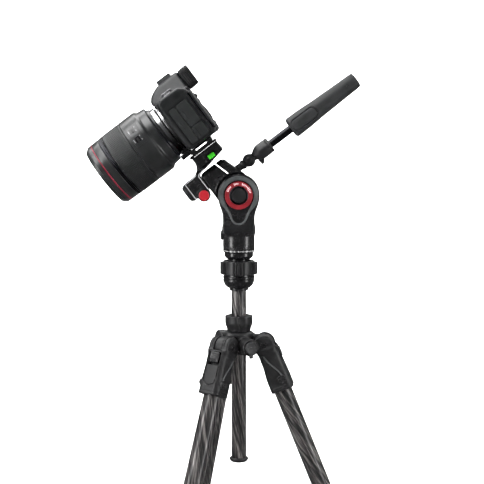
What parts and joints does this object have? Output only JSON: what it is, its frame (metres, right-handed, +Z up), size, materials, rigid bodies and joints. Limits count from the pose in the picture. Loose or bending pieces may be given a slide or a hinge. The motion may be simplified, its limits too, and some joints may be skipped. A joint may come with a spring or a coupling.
{
  "type": "camera on tripod",
  "caption": "Mirrorless camera with a large lens on a travel tripod with a fluid three-way head, tilted nose-down, legs spread",
  "frame": {"origin": "on the floor under the axis of the centre column", "axes": "+Z up along the centre column, the lens looks towards -X, the pan handle points towards +X"},
  "size_m": [0.3821, 0.3193, 0.7182],
  "materials": {
    "cast_black": "fine satin black coating",
    "carbon": "clear-coated carbon fibre with a twisted weave",
    "black_plastic": "satin moulded plastic",
    "steel": "turned steel",
    "anodised_black": "black anodised",
    "rubber": "matt black rubber",
    "grip_rubber": "dark grey soft-touch rubber",
    "red_dial": "deep red satin",
    "green_vial": "green spirit vial",
    "camera_shell": "fine-grained black shell",
    "screen_gloss": "glossy black display",
    "bright_metal": "bright machined metal",
    "lens_shell": "fine satin black",
    "coated_glass": "coated optical glass"
  },
  "bodies": {
    "hub": {"spider": "cast_black", "leg_pivot_pins": "steel", "accessory_plug": "black_plastic"},
    "right_leg": {"right_leg_shoulder": "cast_black", "right_leg_upper_tube": "carbon"},
    "right_selector": {"right_leg_angle_selector": "black_plastic"},
    "right_upper_lock": {"right_leg_upper_lock": "black_plastic"},
    "right_middle": {"right_leg_middle_tube": "carbon"},
    "right_lower_lock": {"right_leg_lower_lock": "black_plastic"},
    "right_lower": {"right_leg_lower_tube": "carbon", "right_leg_foot": "rubber"},
    "front_leg": {"front_leg_shoulder": "cast_black", "front_leg_upper_tube": "carbon"},
    "front_selector": {"front_leg_angle_selector": "black_plastic"},
    "front_upper_lock": {"front_leg_upper_lock": "black_plastic"},
    "front_middle": {"front_leg_middle_tube": "carbon"},
    "front_lower_lock": {"front_leg_lower_lock": "black_plastic"},
    "front_lower": {"front_leg_lower_tube": "carbon", "front_leg_foot": "rubber"},
    "back_leg": {"back_leg_shoulder": "cast_black", "back_leg_upper_tube": "carbon"},
    "back_selector": {"back_leg_angle_selector": "black_plastic"},
    "back_upper_lock": {"back_leg_upper_lock": "black_plastic"},
    "back_middle": {"back_leg_middle_tube": "carbon"},
    "back_lower_lock": {"back_leg_lower_lock": "black_plastic"},
    "back_lower": {"back_leg_lower_tube": "carbon", "back_leg_foot": "rubber"},
    "collar": {"column_collar": "black_plastic"},
    "column": {"centre_column": "carbon", "column_end_cap": "black_plastic", "levelling_bowl": "cast_black"},
    "level_ring": {"levelling_ring": "black_plastic"},
    "level_cup": {"levelling_cup": "steel"},
    "level_base": {"head_base": "cast_black"},
    "pan_body": {"head_stem": "cast_black", "tilt_axle": "black_plastic"},
    "pan_knob": {"pan_lock_knob": "black_plastic"},
    "drag_dial": {"tilt_dial": "red_dial"},
    "tilt_body": {"tilt_block": "cast_black", "handle_socket": "cast_black"},
    "roll_body": {"roll_bracket": "cast_black", "bubble_level": "green_vial"},
    "roll_lock": {"roll_knob": "black_plastic"},
    "lever": {"quick_release_lever": "black_plastic"},
    "camera": {"quick_release_plate": "anodised_black", "camera_body": "camera_shell", "camera_top_cover": "camera_shell", "eyecup": "rubber", "port_covers": "rubber", "lens_mount": "bright_metal"},
    "camera_screen": {"screen": "screen_gloss"},
    "dial": {"mode_dial": "black_plastic"},
    "shutter": {"shutter_button": "camera_shell"},
    "lens": {"lens_barrel": "lens_shell", "front_element": "coated_glass"},
    "focus": {"focus_ring": "grip_rubber"},
    "control": {"control_ring": "lens_shell"},
    "handle": {"handle_collar": "cast_black", "handle_rod": "anodised_black"},
    "grip": {"handle_grip": "grip_rubber"}
  },
  "joints": [
    {"name": "tilt", "type": "hinge", "parent": "pan_body", "child": "tilt_body", "pos_m": [0, 0, 0.54855], "axis": [0, 1, 0], "range_deg": [-25, 97]},
    {"name": "pan", "type": "hinge", "parent": "level_base", "child": "pan_body", "pos_m": [0, 0, 0.47755], "axis": [0, 0, 1], "continuous": true},
    {"name": "roll", "type": "hinge", "parent": "tilt_body", "child": "roll_body", "pos_m": [-0.04863, 0, 0.56324], "axis": [0.7986, 0, 0.6018], "range_deg": [-90, 30]},
    {"name": "handle_fold", "type": "hinge", "parent": "tilt_body", "child": "handle", "pos_m": [0.01328, 0, 0.59374], "axis": [0, -1, 0], "range_deg": [-50, 45]},
    {"name": "column_slide", "type": "slide", "parent": "hub", "child": "column", "axis": [0, 0, 1], "range_m": [-0.03, 0.13]},
    {"name": "right_leg_fold", "type": "hinge", "parent": "hub", "child": "right_leg", "pos_m": [0.03387, -0.00296, 0.35055], "axis": [0.0872, 0.9962, 0], "range_deg": [0, 21]},
    {"name": "front_leg_fold", "type": "hinge", "parent": "hub", "child": "front_leg", "pos_m": [-0.0195, -0.02785, 0.35055], "axis": [0.8192, -0.5736, 0], "range_deg": [0, 21]},
    {"name": "back_leg_fold", "type": "hinge", "parent": "hub", "child": "back_leg", "pos_m": [-0.01437, 0.03081, 0.35055], "axis": [-0.9063, -0.4226, 0], "range_deg": [0, 21]},
    {"name": "right_middle_slide", "type": "slide", "parent": "right_leg", "child": "right_middle", "axis": [0.3732, -0.0326, -0.9272], "range_m": [0, 0.215]},
    {"name": "right_lower_slide", "type": "slide", "parent": "right_middle", "child": "right_lower", "axis": [0.3732, -0.0326, -0.9272], "range_m": [0, 0.215]},
    {"name": "front_middle_slide", "type": "slide", "parent": "front_leg", "child": "front_middle", "axis": [-0.2149, -0.3069, -0.9272], "range_m": [0, 0.215]},
    {"name": "front_lower_slide", "type": "slide", "parent": "front_middle", "child": "front_lower", "axis": [-0.2149, -0.3069, -0.9272], "range_m": [0, 0.215]},
    {"name": "back_middle_slide", "type": "slide", "parent": "back_leg", "child": "back_middle", "axis": [-0.1583, 0.3395, -0.9272], "range_m": [0, 0.215]},
    {"name": "back_lower_slide", "type": "slide", "parent": "back_middle", "child": "back_lower", "axis": [-0.1583, 0.3395, -0.9272], "range_m": [0, 0.215]},
    {"name": "plate_slide", "type": "slide", "parent": "roll_body", "child": "camera", "axis": [0, 1, 0], "range_m": [0, 0.03]},
    {"name": "screen_swing", "type": "hinge", "parent": "camera", "child": "camera_screen", "pos_m": [-0.04653, -0.0515, 0.65998], "axis": [0.6018, 0, -0.7986], "range_deg": [0, 170]},
    {"name": "release_lever", "type": "hinge", "parent": "roll_body", "child": "lever", "pos_m": [-0.02854, 0.0266, 0.60969], "axis": [0.6018, 0, -0.7986], "range_deg": [0, 50]},
    {"name": "level_sideways", "type": "hinge", "parent": "column", "child": "level_cup", "pos_m": [0, 0, 0.45055], "axis": [1, 0, 0], "range_deg": [-5, 5]},
    {"name": "level_fore_aft", "type": "hinge", "parent": "level_cup", "child": "level_base", "pos_m": [0, 0, 0.45055], "axis": [0, 1, 0], "range_deg": [-5, 5]},
    {"name": "level_ring_twist", "type": "hinge", "parent": "column", "child": "level_ring", "pos_m": [0, 0, 0.45055], "axis": [0, 0, 1], "range_deg": [0, 60]},
    {"name": "collar_twist", "type": "hinge", "parent": "hub", "child": "collar", "pos_m": [0, 0, 0.37855], "axis": [0, 0, 1], "range_deg": [0, 90]},
    {"name": "lens_twist", "type": "hinge", "parent": "camera", "child": "lens", "pos_m": [-0.08672, 0, 0.63871], "axis": [0.7986, 0, 0.6018], "range_deg": [0, 60]},
    {"name": "focus_turn", "type": "hinge", "parent": "lens", "child": "focus", "pos_m": [-0.14343, 0, 0.59598], "axis": [0.7986, 0, 0.6018], "continuous": true},
    {"name": "control_turn", "type": "hinge", "parent": "lens", "child": "control", "pos_m": [-0.1578, 0, 0.58515], "axis": [0.7986, 0, 0.6018], "continuous": true},
    {"name": "grip_twist", "type": "hinge", "parent": "handle", "child": "grip", "pos_m": [0.11087, 0, 0.66728], "axis": [0.7986, 0, 0.6018], "range_deg": [0, 120]},
    {"name": "roll_lock_twist", "type": "hinge", "parent": "roll_body", "child": "roll_lock", "pos_m": [-0.0662, 0, 0.55], "axis": [0.7986, 0, 0.6018], "range_deg": [0, 60]},
    {"name": "pan_lock_twist", "type": "hinge", "parent": "pan_body", "child": "pan_knob", "pos_m": [-0.02, 0, 0.49535], "axis": [1, 0, 0], "range_deg": [0, 90]},
    {"name": "drag_dial_turn", "type": "hinge", "parent": "pan_body", "child": "drag_dial", "pos_m": [0, 0, 0.54855], "axis": [0, 1, 0], "range_deg": [0, 90]},
    {"name": "mode_dial_turn", "type": "hinge", "parent": "camera", "child": "dial", "pos_m": [-0.0883, 0.062, 0.68235], "axis": [-0.6018, 0, 0.7986], "continuous": true},
    {"name": "shutter_press", "type": "slide", "parent": "camera", "child": "shutter", "axis": [0.6018, 0, -0.7986], "range_m": [0, 0.0015], "stiffness_N_per_m": 400},
    {"name": "right_upper_lock_twist", "type": "hinge", "parent": "right_leg", "child": "right_upper_lock", "pos_m": [0.14769, -0.01292, 0.06776], "axis": [0.3732, -0.0326, -0.9272], "range_deg": [0, 60]},
    {"name": "right_lower_lock_twist", "type": "hinge", "parent": "right_middle", "child": "right_lower_lock", "pos_m": [0.15777, -0.0138, 0.04272], "axis": [0.3732, -0.0326, -0.9272], "range_deg": [0, 60]},
    {"name": "right_selector_press", "type": "slide", "parent": "right_leg", "child": "right_selector", "axis": [-0.9237, 0.0808, -0.3746], "range_m": [0, 0.0025], "stiffness_N_per_m": 500},
    {"name": "front_upper_lock_twist", "type": "hinge", "parent": "front_leg", "child": "front_upper_lock", "pos_m": [-0.08504, -0.12144, 0.06776], "axis": [-0.2149, -0.3069, -0.9272], "range_deg": [0, 60]},
    {"name": "front_lower_lock_twist", "type": "hinge", "parent": "front_middle", "child": "front_lower_lock", "pos_m": [-0.09084, -0.12973, 0.04272], "axis": [-0.2149, -0.3069, -0.9272], "range_deg": [0, 60]},
    {"name": "front_selector_press", "type": "slide", "parent": "front_leg", "child": "front_selector", "axis": [0.5318, 0.7595, -0.3746], "range_m": [0, 0.0025], "stiffness_N_per_m": 500},
    {"name": "back_upper_lock_twist", "type": "hinge", "parent": "back_leg", "child": "back_upper_lock", "pos_m": [-0.06266, 0.13437, 0.06776], "axis": [-0.1583, 0.3395, -0.9272], "range_deg": [0, 60]},
    {"name": "back_lower_lock_twist", "type": "hinge", "parent": "back_middle", "child": "back_lower_lock", "pos_m": [-0.06693, 0.14353, 0.04272], "axis": [-0.1583, 0.3395, -0.9272], "range_deg": [0, 60]},
    {"name": "back_selector_press", "type": "slide", "parent": "back_leg", "child": "back_selector", "axis": [0.3918, -0.8403, -0.3746], "range_m": [0, 0.0025], "stiffness_N_per_m": 500}
  ]
}
